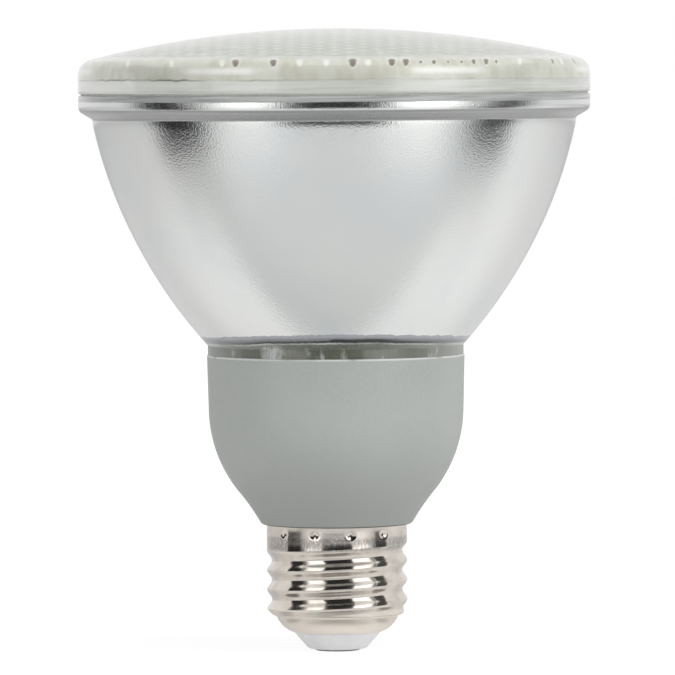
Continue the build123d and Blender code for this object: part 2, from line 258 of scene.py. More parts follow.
def radial_block(near, far, width, low, high, turn):
    """Places and faces of a straight block from one radius out to another, turned about the axis."""
    corners = np.meshgrid([near, far], [-width / 2, width / 2], [low, high], indexing="ij")
    r, across, z = (a.ravel() for a in corners)
    places = np.column_stack([r * cos(turn) - across * sin(turn), r * sin(turn) + across * cos(turn), z])
    return places, [[0, 1, 3, 2], [4, 6, 7, 5], [0, 4, 5, 1], [2, 3, 7, 6], [0, 2, 6, 4], [1, 5, 7, 3]]


def piece(name, *shapes):
    """One object from several (places, faces) pairs in millimetres, smooth apart from its sharp edges."""
    starts = np.cumsum([0] + [len(places) for places, faces in shapes])
    faces = [[start + i for i in face] for start, (places, part) in zip(starts, shapes) for face in part]
    mesh = bpy.data.meshes.new(name)
    mesh.from_pydata(np.vstack([places for places, part in shapes]) * MM, [], faces)
    mesh.shade_smooth()
    mesh.set_sharp_from_angle(angle=sharp_angle)
    made = bpy.data.objects.new(name, mesh)
    bpy.context.scene.collection.objects.link(made)
    return made


def smooth(low, high, value):
    """0 below low, 1 above high and an even S between them, for whole arrays."""
    x = np.clip((value - low) / (high - low), 0, 1)
    return x * x * (3 - 2 * x)


def dome(r, drop):
    """Height of the lens's sphere, or of one set in from it by drop, at the radius r."""
    return dome_centre_z + np.sqrt((dome_radius - drop) ** 2 - r ** 2)


def lens_outline():
    """From the inside's pole out to the mouth, round the foot, up the rim and back over the dome."""
    inner = mouth_radius * np.linspace(0, 1, 12)
    inside = np.column_stack([inner, dome(inner, lens_wall)])
    shoulder = (lens_radius, float(dome(lens_radius, 0)))
    inward = (lens_radius - rim_run, float(dome(lens_radius - rim_run, 0)))
    foot = corner((mouth_radius, lens_z), (lens_radius, lens_z), shoulder, lens_foot_round, 4)
    bend = corner((lens_radius, lens_z), shoulder, inward, rim_round, 22)
    outer = bend[-1, 0] * np.concatenate([np.linspace(1, 0.96, 8), np.linspace(0.9, 0, 10)])
    outside = np.column_stack([outer, dome(outer, 0)])
    outside[0] = bend[-1]
    return outline(inside, line((mouth_radius, inside[-1, 1]), (mouth_radius, lens_z), 2), foot,
                   line(foot[-1], bend[0], 20), bend, outside)


def reflector_outline():
    """Up the outside from the neck to the flange, upright just below it, then back down the inside."""
    neck_top = (neck_radius, bowl_z)
    root = (bowl_top_radius, bowl_top_z)
    edge = (flange_radius, band_z)
    bowl_lip = (bowl_top_radius - bowl_lip_reach, bowl_top_z - bowl_lip_height)
    lip = arc(bowl_lip, root, bowl_lip_curve, 8)
    bowl = outline(arc(neck_top, bowl_lip, bowl_curve, 48), lip)
    root_bend = corner(lip[-2], root, edge, flange_root_round)
    edge_bend = corner(root, edge, (flange_radius, seal_z), flange_edge_round)
    top_bend = corner(edge, (flange_radius, seal_z), (mouth_radius, seal_z), flange_top_round)
    neck_inside = (neck_radius - bowl_wall, bowl_z)
    bowl_inside = arc((bowl_top_radius - bowl_wall, bowl_top_z), neck_inside, bowl_wall - bowl_curve, 30)
    keep = bowl[:, 1] < root_bend[0, 1] - point_gap
    return outline((neck_radius - bowl_wall, neck_z), line((neck_radius, neck_z), neck_top, 4), bowl[keep],
                   root_bend, edge_bend, line(edge_bend[-1], top_bend[0], 8), top_bend,
                   (mouth_radius, seal_z), bowl_inside)


def pressed_waves(t, r, z):
    """Slow waves of a few hundredths of a millimetre, inwards only, as a press leaves in glass: the sum of
    three sines of the angle, each slanted by the height."""
    wave = np.sin(3 * t + 0.06 * z) + np.sin(5 * t - 0.11 * z + 1.3) + np.sin(9 * t + 0.21 * z + 0.4)
    return r - press_wave * (3 + wave)


def housing_outline():
    """Up the outside from the spigot, over the rim and down the hollow inside."""
    foot = (housing_foot_radius, foot_z)
    waist = (waist_radius, waist_z)
    shoulder = (shoulder_radius, shoulder_z)
    rim = (housing_radius, rim_z)
    flare = arc(foot, waist, -foot_curve, 20)
    barrel = arc(waist, shoulder, shoulder_curve, 28)
    foot_bend = corner((spigot_radius, foot_z), foot, flare[3], foot_round)
    rim_bend = corner(shoulder, rim, (holder_mouth_radius, rim_z), housing_rim_round)
    cavity_waist = (waist_radius - housing_wall, waist_z)
    cavity_foot = (spigot_radius - spigot_wall, foot_z)
    keep = flare[:, 1] > foot_bend[-1, 1] + point_gap / 2
    return outline((spigot_radius - spigot_wall, spigot_z),
                   line((spigot_radius, spigot_z), (spigot_radius, foot_z), 2), foot_bend, flare[keep],
                   barrel, line(shoulder, rim_bend[0], 8), rim_bend, (holder_mouth_radius, rim_z),
                   (holder_mouth_radius, holder_flange_z), (cavity_radius, holder_flange_z),
                   (cavity_radius, shoulder_z),
                   arc((cavity_radius, shoulder_z), cavity_waist, housing_wall - shoulder_curve, 16),
                   arc(cavity_waist, cavity_foot, foot_curve, 8))


def shell_outline():
    """Lip, cup, thread and collar, up the sheet's outside and down its inside."""
    def skin(inset):
        cup = cup_round - inset
        low = cup_z - sqrt(cup ** 2 - (lip_radius - cup_centre_radius) ** 2)
        cup_top = (cup_centre_radius + sqrt(cup ** 2 - (cup_z - cup_top_z) ** 2), cup_top_z)
        wall = shell_radius - inset
        return outline(arc((lip_radius, low), cup_top, cup, 16),
                       arc(cup_top, (wall, thread_z), cup_shoulder_curve, 12),
                       line((wall, thread_z), (wall, foot_z), 132))
    return outline(skin(0), skin(sheet)[::-1])


def rolled_and_staked(t, r, z):
    """The thread as rolled: the depth is (1 - cos(pi (u + lean u (1 - u)))) / 2, where u runs from 0 on the
    crest, which climbs with the angle, to 1 in the root, so that the root is a little wider. It fades into
    the cup. The last crest is the collar's lower edge, from which it comes down again round the back. The
    collar flares very slightly at both ends, by a parabola each, and round stakes dent it."""
    climb = thread_start + tau * (z - thread_z) / thread_pitch
    off = np.abs((t - climb + pi) % tau - pi) / pi
    wave = (1 - np.cos(pi * off * (1 + thread_lean * (1 - off)))) / 2
    side = (t - front + pi) % tau - pi
    back = np.clip((np.abs(side) - thread_tail) / (pi - thread_tail), 0, 1)
    rise = np.where(back > 0, np.copysign(thread_tail * (1 - back), side), side)
    edge = thread_z + thread_pitch * (thread_turns + ((front - thread_start) % tau + rise) / tau)
    edge_fade = crest_fade + tail_fade * smooth(0, tail_blend, back)
    groove = thread_depth * wave * smooth(*thread_foot, z) * (1 - smooth(edge - edge_fade, edge, z))
    low = np.clip((z - edge) / collar_flare_low, 0, 1)
    high = np.clip((foot_z - z) / collar_flare_high, 0, 1)
    waist = collar_waist * low * (2 - low) * high * (2 - high)
    step = tau / stake_count
    beside = (t - stake_start + step / 2) % step - step / 2
    reach = np.hypot(beside * shell_radius, z - stake_z) / stake_radius
    return r - groove - waist - stake_depth * (1 - smooth(0, 1, reach))


def insulator_outline():
    """A cone with a rounded face, recessed for the contact, and a flange inside the shell."""
    face = (recess_radius + plug_land, insulator_z)
    plug = (plug_radius, lip_z)
    flange_low = (plug_radius, plug_top_z - plug_flange_height)
    return outline((recess_radius, insulator_z),
                   corner((recess_radius, insulator_z), face, plug, plug_edge_round),
                   corner(face, plug, flange_low, plug_lip_round), flange_low,
                   (plug_flange_radius, flange_low[1]), (plug_flange_radius, plug_top_z),
                   (stem_bore, plug_top_z), (stem_bore, contact_thickness),
                   (recess_radius, contact_thickness))


def contact_outline():
    """A disc with a rounded edge and a stem."""
    rim_top = (contact_radius, contact_thickness)
    edge = corner((0, contact_z), (contact_radius, contact_z), rim_top, contact_edge_round)
    return outline((0, contact_z), edge, rim_top, (stem_radius, contact_thickness), (stem_radius, stem_top_z),
                   (0, stem_top_z))


lens = piece("lens_glass", turned(lens_outline(), 1080, closed=False))
reflector = piece("reflector_glass", turned(reflector_outline(), 360, shape=pressed_waves))
ribs = [radial_block(cavity_radius - rib_reach, cavity_radius + housing_wall / 2, rib_width,
                     board_z - rib_height, board_z, turn) for turn in tau * np.arange(rib_count) / rib_count]
housing = piece("housing_shell", turned(housing_outline(), 240), *ribs)
screw_shell = piece("threaded_shell", turned(shell_outline(), 256, shape=rolled_and_staked))
insulator = piece("insulator_plug", turned(insulator_outline(), 128))
contact = piece("contact_disc", turned(contact_outline(), 96, closed=False))


# Finishes

class Signal:
    """A node's output. Arithmetic on signals and numbers adds Math nodes."""

    def __init__(self, finish, socket):
        self.finish = finish
        self.socket = socket

    def at(self, output):
        """Another output of the same node."""
        return Signal(self.finish, self.socket.node.outputs[output])

    def math(self, operation, *values):
        """A Math node on any values."""
        return self.finish.node("ShaderNodeMath", {"operation": operation}, dict(enumerate(values)))

    def __add__(self, other):
        return self.math("ADD", self, other)

    def __sub__(self, other):
        return self.math("SUBTRACT", self, other)

    def __rsub__(self, other):
        return self.math("SUBTRACT", other, self)

    def __mul__(self, other):
        return self.math("MULTIPLY", self, other)

    def __abs__(self):
        return self.math("ABSOLUTE", self)

    __radd__ = __add__
    __rmul__ = __mul__

    def cosine(self):
        return self.math("COSINE", self)

    def above(self, low, high):
        """0 below low and 1 above high, with an even S between them."""
        return self.finish.node("ShaderNodeMapRange", {"interpolation_type": "SMOOTHSTEP"},
                                {"Value": self, "From Min": low, "From Max": high})

    def below(self, low, high):
        """1 below low and 0 above high."""
        return 1 - self.above(low, high)

    def near(self, level, reach):
        """1 close to a level, fading to 0 at that distance from it."""
        return abs(self - level).below(reach / 2, reach)


class Finish:
    """The node tree of a material or of the world, and the one way to add a node to it."""

    def __init__(self, owner):
        owner.use_nodes = True
        self.owner = owner
        self.tree = owner.node_tree
        self.tree.nodes.clear()

    def node(self, kind, settings=None, sockets=None, output=0):
        """Adds a node: its settings first, then the values or signals of its sockets. Returns one of its
        outputs, or nothing where it has none."""
        made = self.tree.nodes.new(kind)
        for name, value in (settings or {}).items():
            setattr(made, name, value)
        for name, value in (sockets or {}).items():
            if isinstance(value, Signal):
                self.tree.links.new(value.socket, made.inputs[name])
            else:
                made.inputs[name].default_value = value
        return Signal(self, made.outputs[output]) if made.outputs else None

    def place(self):
        """Object coordinates, in metres."""
        return self.node("ShaderNodeTexCoord", output="Object")

    def coordinates(self):
        """The place's x, y and z, in millimetres."""
        x = self.node("ShaderNodeSeparateXYZ", None, {"Vector": self.place()}, "X")
        return [x.at(axis) * (1 / MM) for axis in "XYZ"]

    def stretched(self, x, y, z):
        """Object coordinates, scaled along each axis."""
        return self.node("ShaderNodeMapping", None, {"Vector": self.place(), "Scale": (x, y, z)})

    def noise(self, size, detail=2.0, vector=None):
        """Noise with features of about that size in millimetres."""
        return self.node("ShaderNodeTexNoise", None,
                         {"Vector": vector or self.place(), "Scale": 1 / (size * MM), "Detail": detail})

    def marked(self, name):
        """A number that is stored with the piece's points."""
        return self.node("ShaderNodeAttribute", {"attribute_name": name}, None, "Fac")

    def blend(self, a, b, factor):
        """Colour a where factor is 0 and colour b where it is 1."""
        return self.node("ShaderNodeMix", {"data_type": "RGBA"}, {0: factor, 6: a, 7: b}, 2)

    def bump(self, height, depth):
        """A normal from heights of 0 to 1 that stand for that depth in millimetres."""
        return self.node("ShaderNodeBump", None, {"Distance": depth * MM, "Height": height})

    def principled(self, **sockets):
        """The general shader, its sockets named with _ for each space."""
        return self.node("ShaderNodeBsdfPrincipled", None,
                         {name.replace("_", " "): value for name, value in sockets.items()})

    def mixed(self, a, b, factor):
        """Shader a where factor is 0 and shader b where it is 1."""
        return self.node("ShaderNodeMixShader", None, {0: factor, 1: a, 2: b})

    def done(self, shader, kind="ShaderNodeOutputMaterial"):
        """Puts the shader on the surface and returns the finished material or world."""
        self.node(kind, None, {"Surface": shader})
        return self.owner


def material(name):
    """The empty finish of a new material."""
    return Finish(bpy.data.materials.new(name))


def srgb(r, g, b):
    """A colour as seen on a screen, 0 to 255, as the linear colour a shader takes."""
    c = np.array([r, g, b]) / 255
    return (*np.where(c <= 0.04045, c / 12.92, ((c + 0.055) / 1.055) ** 2.4), 1.0)


def plain(name, colour, second, roughness, size=2.0, metallic=0.0, grain=0.0, grain_size=0.3):
    """A moulded or drawn material: two near colours in soft patches, gloss that varies with them, and a fine
    grain of that depth and size in millimetres."""
    f = material(name)
    patches = f.noise(size, 4).above(0.3, 0.7)
    sockets = {"Base_Color": f.blend(colour, second, patches), "Metallic": metallic,
               "Roughness": patches * 0.12 + (roughness - 0.06)}
    if grain:
        sockets["Normal"] = f.bump(f.noise(grain_size, 3), grain)
    return f.done(f.principled(**sockets))


def clear_glass(f, colour, roughness, **sockets):
    """Glass that is seen through."""
    return f.principled(Base_Color=colour, Roughness=roughness, Transmission_Weight=1.0, IOR=1.5, **sockets)


def neck_colour(f, x, height):
    """The clear neck with cement behind it, from the bottom up: green-grey cement with upright streaks and
    pale smears, darkened by painted shade, with painted light on its sides and a painted sheen on the left; a
    thin pale line that is a painted highlight, a dark and a black line that are painted reflections, and a
    grey painted shade that ends at the coat. The lines sink towards the sides."""
    beside = x * x * (1 / neck_radius ** 2)
    streaks = f.noise(0.5, 2, f.stretched(1, 1, 0.15)).above(0.3, 0.7)
    smudges = f.noise(1.8, 3, f.stretched(0.3, 0.3, 1.3)).above(0.3, 0.7)
    smears = f.noise(2.2, 3, f.stretched(1, 1, 0.5)).above(0.58, 0.72)
    smears = smears * height.below(neck_z + 0.8, neck_z + 2.6)
    waves = height + beside * neck_line_sink + f.noise(5, 2) * 0.4 + f.noise(0.7, 2) * 0.24 - 0.32
    # Cement seen through the glass, darkened by painted shade
    colour = f.blend(srgb(72, 76, 67), srgb(98, 101, 86), smudges)
    colour = f.blend(colour, srgb(118, 121, 110), streaks * 0.5)
    # Painted light: the neck lighter towards its sides, more on the right
    colour = f.blend(colour, srgb(164, 167, 162), beside * (x.above(-15, 15) * 0.35 + 0.65))
    colour = f.blend(colour, srgb(214, 217, 214), smears * (streaks * 0.5 + 0.2))
    # A painted sheen: a pale patch low on the neck's left
    sheen = x.above(-14.2, -13) * x.below(-10.5, -9.5) * height.below(neck_z + 1.6, neck_z + 2.8)
    colour = f.blend(colour, srgb(222, 225, 222), sheen * (streaks * 0.6 + 0.15))
    # A thin pale line, a painted highlight
    colour = f.blend(colour, srgb(200, 204, 200), waves.near(highlight_line_z, 0.2) * (smudges * 0.8 + 0.1))
    shade = f.blend(srgb(122, 124, 126), srgb(168, 170, 175), waves.above(coat_low_z - 1.0, coat_low_z - 0.3))
    colour = f.blend(colour, shade, waves.above(shade_z, dark_reflection_z))
    # A dark line and a black line, painted reflections, the black one only at the front and right
    colour = f.blend(colour, srgb(36, 38, 36), waves.near(dark_reflection_z, 0.26) * beside.below(0.2, 0.9))
    black = waves.near(black_reflection_z, 0.44) * x.above(-1.5, -0.5) * x.below(8, 15)
    return f.blend(colour, srgb(8, 10, 8), black)


def silvered_glass():
    """Pressed glass: a bright grained coat between two ragged edges, darker on the flange's slope with
    painted shade, and clear glass above and below it, mostly covered by a glossy paint: streaked grey painted
    reflections on the flange, and the neck's colours below."""
    f = material("silvered glass")
    x, y, height = f.coordinates()
    ragged = f.noise(2.6, 5) - 0.5
    sink = x * x * (neck_line_sink / neck_radius ** 2)
    coat = (height + sink + ragged * 0.9).above(coat_low_z - 0.1, coat_low_z + 0.1) * (
        height + ragged * 0.2).below(coat_high_z - 0.06, coat_high_z + 0.06)
    cloud = f.noise(14, 3).above(0.3, 0.7)
    bright = f.blend(srgb(229, 230, 227), srgb(224, 226, 226), cloud)
    # Painted shade: the coat darker on the flange's slope and round its root
    slope = height.above(bowl_top_z - 0.2, bowl_top_z - 0.08) * height.below(band_z + 0.18, band_z + 0.45)
    on_flange = height.above(bowl_top_z - 0.5, bowl_top_z)
    grain = f.noise(0.36, 4) * (1 - on_flange) + f.noise(0.24, 2) * on_flange
    silver = f.principled(Base_Color=f.blend(bright, srgb(164, 165, 164), slope), Metallic=1.0,
                          Roughness=cloud * 0.05 + 0.12, Normal=f.bump(grain, coat_grain))
    # Painted reflections: grey streaks over the clear glass of the flange
    lines = f.noise(1.2, 3, f.stretched(0.08, 0.08, 3)).above(0.3, 0.7)
    edge_colour = f.blend(srgb(152, 154, 154), srgb(196, 198, 196), lines)
    bare_colour = f.blend(edge_colour, neck_colour(f, x, height), height.below(bowl_top_z, band_z))
    bare = f.principled(Base_Color=bare_colour, Roughness=0.3, Coat_Weight=0.5, Coat_Roughness=0.05)
    clear = clear_glass(f, srgb(226, 234, 226), 0.03)
    return f.done(f.mixed(f.mixed(clear, bare, 0.88), silver, coat))


def lens_rim_glass():
    """Clear pressed glass. A pale moulded band with dark and pale spots and painted glints goes round the
    rim, with a wavy crease of painted shade under it and smooth streaked glass below that, lighter on the
    left with painted light."""
    f = material("lens glass")
    clear = clear_glass(f, srgb(243, 246, 240), 0.04)
    columns = f.noise(1.6, 3, f.stretched(1, 1, 0.25)).above(0.3, 0.7)
    patches = f.noise(5, 3).above(0.35, 0.65)
    mottle = f.blend(srgb(201, 202, 188), srgb(180, 182, 163), columns)
    mottle = f.blend(mottle, srgb(206, 206, 197), patches * 0.7)
    # Pale spots, and painted glints: pale highlights round the rim
    mottle = f.blend(mottle, srgb(238, 238, 234), f.marked("rim_pale_and_glint"))
    mottle = f.blend(mottle, srgb(116, 106, 96), f.marked("rim_dark"))
    streaks = f.noise(1.1, 3, f.stretched(0.07, 0.07, 2.5)).above(0.3, 0.7)
    foot = f.blend(srgb(208, 210, 203), srgb(234, 235, 231), streaks)
    # Painted light: the foot lighter on the left
    foot = f.blend(foot, srgb(246, 247, 244), f.coordinates()[0].below(-42, -22) * 0.85)
    colour = f.blend(foot, mottle, f.marked("rim_band"))
    # Painted shade along the crease and the band's top edge
    colour = f.blend(colour, srgb(112, 112, 104), f.marked("rim_crease_shade"))
    moulded = f.principled(Base_Color=colour, Roughness=0.3, Coat_Weight=1.0, Coat_Roughness=0.04)
    return f.done(f.mixed(clear, moulded, f.marked("rim_cover")))


def stippled_glass():
    """The lens's inside, pressed in a close pattern of dimples, half clear and half pale, with painted shade
    in the pattern's low points and painted highlights on its high points. The pattern is the sum of three
    cosines,
    60 degrees apart."""
    f = material("stippled lens glass")
    x, y, height = f.coordinates()
    wave = 4 * pi / (sqrt(3) * dimple_pitch)
    dimples = sum((x * (wave * cos(a)) + y * (wave * sin(a))).cosine() for a in (0, pi / 3, 2 * pi / 3))
    normal = f.bump(dimples, dimple_depth)
    clear = clear_glass(f, srgb(243, 246, 240), 0.04, Normal=normal)
    tone = f.blend(srgb(230, 231, 226), srgb(222, 223, 217), f.noise(9, 3).above(0.3, 0.7))
    # Painted shade in the pattern's low points and painted highlights on its high points
    tone = f.blend(tone, srgb(206, 207, 202), dimples.below(-1.4, -0.4) * 0.7)
    tone = f.blend(tone, srgb(250, 250, 248), dimples.above(0.8, 2.4))
    pale = f.principled(Base_Color=tone, Roughness=0.4, Normal=normal)
    return f.done(f.mixed(clear, pale, 0.6))


def nickel():
    """Bright warm nickel on rolled sheet, a little dull where it has been handled, streaked darker grey low
    on the collar and satin on the drawn cup."""
    f = material("nickel")
    handled = f.noise(3, 5).above(0.42, 0.75)
    height = f.coordinates()[2]
    colour = f.blend(srgb(218, 211, 202), srgb(202, 194, 184), handled)
    # Darker grey upright streaks low on the collar
    collar_streaks = f.noise(0.3, 3, f.stretched(1, 1, 0.4)).above(0.3, 0.55) * height.near(collar_z + 0.6, 1.6)
    colour = f.blend(colour, srgb(150, 147, 143), collar_streaks * 0.75)
    satin = height.below(*satin_levels)
    colour = f.blend(colour, srgb(234, 226, 216), satin)
    return f.done(f.principled(Base_Color=colour, Metallic=1.0, Roughness=handled * 0.06 + satin * 0.24 + 0.1,
                               Normal=f.bump(f.noise(0.3, 2), 0.003)))


def tinned():
    """Dull tin, darker along the lowest edge."""
    f = material("tinned contact")
    # Darker along the lowest edge
    lowest_edge = f.coordinates()[2].below(0.1, 0.22)
    patches = f.noise(1.5, 4).above(0.3, 0.7)
    colour = f.blend(f.blend(srgb(176, 176, 176), srgb(160, 160, 160), patches), srgb(96, 96, 94), lowest_edge)
    return f.done(f.principled(Base_Color=colour, Metallic=1.0, Roughness=patches * 0.12 + 0.3))


def housing_plastic():
    """Grey moulded plastic with a fine matt grain and faint clouds, darker towards its foot with painted
    shade, a dark line of painted shade at the foot, and a pale line of painted highlight along the edge of
    its rim."""
    f = material("housing plastic")
    height = f.coordinates()[2]
    cloud = f.noise(16, 4).above(0.3, 0.7)
    specks = f.noise(0.5, 2).above(0.35, 0.65)
    colour = f.blend(srgb(175, 179, 175), srgb(169, 173, 169), cloud)
    colour = f.blend(colour, srgb(180, 184, 180), specks * 0.35)
    # Painted shade: darker towards the foot
    colour = f.blend(srgb(154, 157, 153), colour, height.above(foot_z - 4, foot_z + 22))
    # Painted shade: a dark line along the foot, where the shell meets it
    colour = f.blend(srgb(52, 52, 50), colour, height.above(foot_z + 0.1, foot_z + 0.28))
    # Painted highlight: a pale line along the rim's edge
    edge = height.above(rim_z - 0.42, rim_z - 0.25) * f.noise(6, 3).above(0.3, 0.5)
    colour = f.blend(colour, srgb(232, 236, 234), edge * 0.85)
    return f.done(f.principled(Base_Color=colour, Roughness=cloud * 0.06 + 0.46,
                               Normal=f.bump(f.noise(0.22, 2), 0.012)))


def dress(made, node, slot, *finishes):
    """Puts its finishes on a new piece, which stands for a CAD node and rides with the bulb."""
    for finish in finishes:
        made.data.materials.append(finish)
    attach(made, "root")
    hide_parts(node)


dress(lens, "lens", "lens_glass", lens_rim_glass(), stippled_glass())
dress(reflector, "reflector", "mirrored_glass", silvered_glass())
dress(housing, "housing", "housing_plastic", housing_plastic())
dress(screw_shell, "screw_shell", "nickel", nickel())
dress(insulator, "base_insulator", "insulator_plastic",
      plain("insulator plastic", srgb(246, 246, 247), srgb(240, 240, 242), 0.3, 6))
dress(contact, "centre_contact", "contact_metal", tinned())


# The lens's marks, one number for each of its points

def points_of(made):
    """Angle, radius and height of each point of a piece, in radians and millimetres."""
    places = np.empty(len(made.data.vertices) * 3, np.float32)
    made.data.vertices.foreach_get("co", places)
    x, y, z = places.reshape(-1, 3).T / MM
    return np.arctan2(y, x), np.hypot(x, y), z


def mark(made, name, values):
    """Stores one number per point of a piece, for its finish to read."""
    made.data.attributes.new(name, "FLOAT", "POINT").data.foreach_set("value", values.astype(np.float32))


angle, radius, height = points_of(lens)
turn = (angle - front + pi) % tau - pi
chance = np.random.default_rng(7)


def spot_distance(degrees, sizes):
    """Distance from the nearest spot on the rim, where 1 is its squarish edge, wider at its top. A spot's
    size is half its width in millimetres, and its place is in degrees from the front towards +X."""
    nearest = np.full_like(angle, 9.0)
    for at, size in zip(np.radians(degrees), sizes):
        lean = (lens_radius - radius) * np.clip(np.tan(at), -1.2, 1.2)
        along = (((turn - at + pi) % tau - pi) * lens_radius - lean) / size
        tall = (height - spot_z) / (1.15 * size)
        along = along / np.clip(1 + 0.4 * tall, 0.5, 1.4)
        nearest = np.minimum(nearest, (np.abs(along) ** 3 + np.abs(tall) ** 3) ** (1 / 3))
    return nearest


# Spots: those at the front have listed places, and chance strews the rest round the back
dark_front = [-21.8, -13.2, 4.05, 12.6, 15.7, 19.1, 22.2, 25.5, 28.9, 31.9, 35.2, 38.0]
dark_front_sizes = [0.62, 0.58, 0.68, 0.6, 0.58, 0.24, 0.34, 0.2, 0.22, 0.42, 0.5, 0.3]
dark_rest = 48 + np.cumsum(chance.uniform(3, 13, 26))
dark_rest = dark_rest[dark_rest < 285]
pale_front = [-25.0, -38.0, -52.0, -7.4, -1.6, 7.4, 45.0]
pale_size = 0.7
pale_rest = 52 + np.cumsum(chance.uniform(4, 16, 24))
pale_rest = pale_rest[pale_rest < 300]
dark_rest_sizes = chance.uniform(0.3, 0.7, len(dark_rest))
dark = spot_distance([*dark_front, *dark_rest], [*dark_front_sizes, *dark_rest_sizes])
pale = spot_distance([*pale_front, *pale_rest], [pale_size] * (len(pale_front) + len(pale_rest)))
crease_z = crease_low_z + 0.06 * np.sin(5 * turn) + 0.05 * np.sin(61 * turn) + 0.04 * np.sin(103 * turn + 1)
crease_shows = smooth(0.1, 0.9, np.sin(2 * turn - 2.9) * 0.7 + 0.3 * np.sin(17 * turn))
mid_wall = dome(np.minimum(radius, mouth_radius), lens_wall / 2)
outside = (radius > lens_radius - rim_round) | (height > mid_wall)
side = outside * (1 - smooth(band_high_z - 0.08, band_high_z + 0.08, height))
band = smooth(crease_z - 0.15, crease_z + 0.05, height)
halo = smooth(0.9, 1.1, dark) * (1 - smooth(1.3, 1.8, dark))
mark(lens, "rim_band", band)
mark(lens, "rim_cover", side * (0.65 + 0.35 * band))
mark(lens, "rim_dark", 1 - smooth(0.75, 1.05, dark))
# Painted glints: pale highlights round the rim at one height
glint = smooth(0.3, 0.8, np.cos(glints * turn + pi)) * (1 - smooth(0, 1, np.abs(height - glint_z)))
mark(lens, "rim_pale_and_glint", np.maximum(np.maximum(0.7 * (1 - smooth(0.5, 1.0, pale)), 0.3 * halo), 0.75 * glint))
# A wavy line of painted shade along the crease, and a fainter one along the band's top edge
crease = (0.25 + 0.75 * crease_shows) * (1 - smooth(0.05, 0.2, np.abs(height - crease_z)))
edge = 0.3 * (1 - smooth(0.08, 0.25, np.abs(height - band_high_z + 0.15)))
mark(lens, "rim_crease_shade", np.maximum(crease, edge))

# The faces of its hollow underside take the stippled glass
centres = np.empty(len(lens.data.polygons) * 3, np.float32)
lens.data.polygons.foreach_get("center", centres)
face_x, face_y, face_z = centres.reshape(-1, 3).T / MM
face_radius = np.hypot(face_x, face_y)
face_mid_wall = dome(np.minimum(face_radius, mouth_radius), lens_wall / 2)
under = (face_radius < mouth_radius - point_gap / 2) & (face_z < face_mid_wall)
lens.data.polygons.foreach_set("material_index", under.astype(np.int32))

# The solids that stay as they are get their finishes
finishes = {
    "lens_seal": plain("seal bead", srgb(212, 213, 208), srgb(196, 197, 192), 0.5),
    "neck_cement": plain("set cement", srgb(120, 124, 112), srgb(96, 101, 90), 0.6, 3),
    "discharge_tube": plain("phosphor tube", srgb(246, 246, 240), srgb(240, 240, 232), 0.22, 8),
    "tube_holder": plain("holder plastic", srgb(228, 228, 222), srgb(218, 218, 212), 0.45, 5, grain=0.01),
    "tube_leads": plain("tinned wire", srgb(200, 199, 192), srgb(176, 174, 166), 0.35, 0.8, metallic=1.0),
    "circuit_board": plain("board laminate", srgb(176, 150, 104), srgb(158, 132, 88), 0.5, 3, grain=0.02),
    "filter_capacitor": plain("capacitor sleeve", srgb(40, 40, 44), srgb(52, 52, 56), 0.3, 3),
    "choke_core": plain("ferrite", srgb(62, 62, 64), srgb(48, 48, 50), 0.55, 0.8, grain=0.02),
    "choke_winding": plain("winding wire", srgb(196, 120, 74), srgb(160, 88, 50), 0.35, 0.5, grain=0.05),
    "drive_toroid": plain("toroid ferrite", srgb(58, 58, 60), srgb(46, 46, 48), 0.5, 0.8, grain=0.02),
    "transistor_high": plain("transistor epoxy", srgb(40, 40, 41), srgb(50, 50, 51), 0.5, 1.5, grain=0.01),
    "resonant_capacitor": plain("film dip", srgb(176, 76, 48), srgb(154, 60, 36), 0.28, 2),
    "rectifier_diodes": plain("diode epoxy", srgb(36, 36, 38), srgb(46, 46, 48), 0.45, 1),
    "fusible_resistor": plain("resistor coat", srgb(148, 172, 186), srgb(132, 156, 170), 0.55, 1, grain=0.01),
    "live_lead": plain("covered wire", srgb(226, 226, 220), srgb(214, 214, 206), 0.4, 2),
}
finishes["transistor_low"] = finishes["transistor_high"]
finishes["neutral_lead"] = finishes["live_lead"]
for node, finish in finishes.items():
    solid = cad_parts[node]
    solid.data.materials.clear()
    solid.data.materials.append(finish)


# Stage: white paper, a white sky, three soft lights, and cards that only shiny surfaces see

# Cards: the heights in millimetres between which a foot's glow ends, the tone that a fading edge ends in, how
# much the edges spread, and the lower end of a fade, just below 0 so that a fade of 0 degrees is none
card_foot = (0, 1.5)
card_edge = 0.03
card_spread = 0.0335
fade_start = -1e-6
floor_reach = 3.0
camera_place = (0.00034, -1.23, 0.111)
camera_aim = (0.00034, 0, 0.0583)
camera_roll = radians(-0.36)
camera_lens = 352.5


def grey(level):
    """A linear grey, where 1 is white."""
    return (level, level, level, 1)


def stage_sheet(name, places):
    """A stage surface from a grid of places, rows by columns, in metres."""
    rows, columns = places.shape[:2]
    index = np.arange(rows * columns).reshape(rows, columns)
    faces = np.stack([index[:-1, :-1], index[:-1, 1:], index[1:, 1:], index[1:, :-1]], -1).reshape(-1, 4)
    mesh = bpy.data.meshes.new(name)
    mesh.from_pydata(places.reshape(-1, 3), [], faces.tolist())
    made = bpy.data.objects.new(name, mesh)
    bpy.context.scene.collection.objects.link(made)
    return made


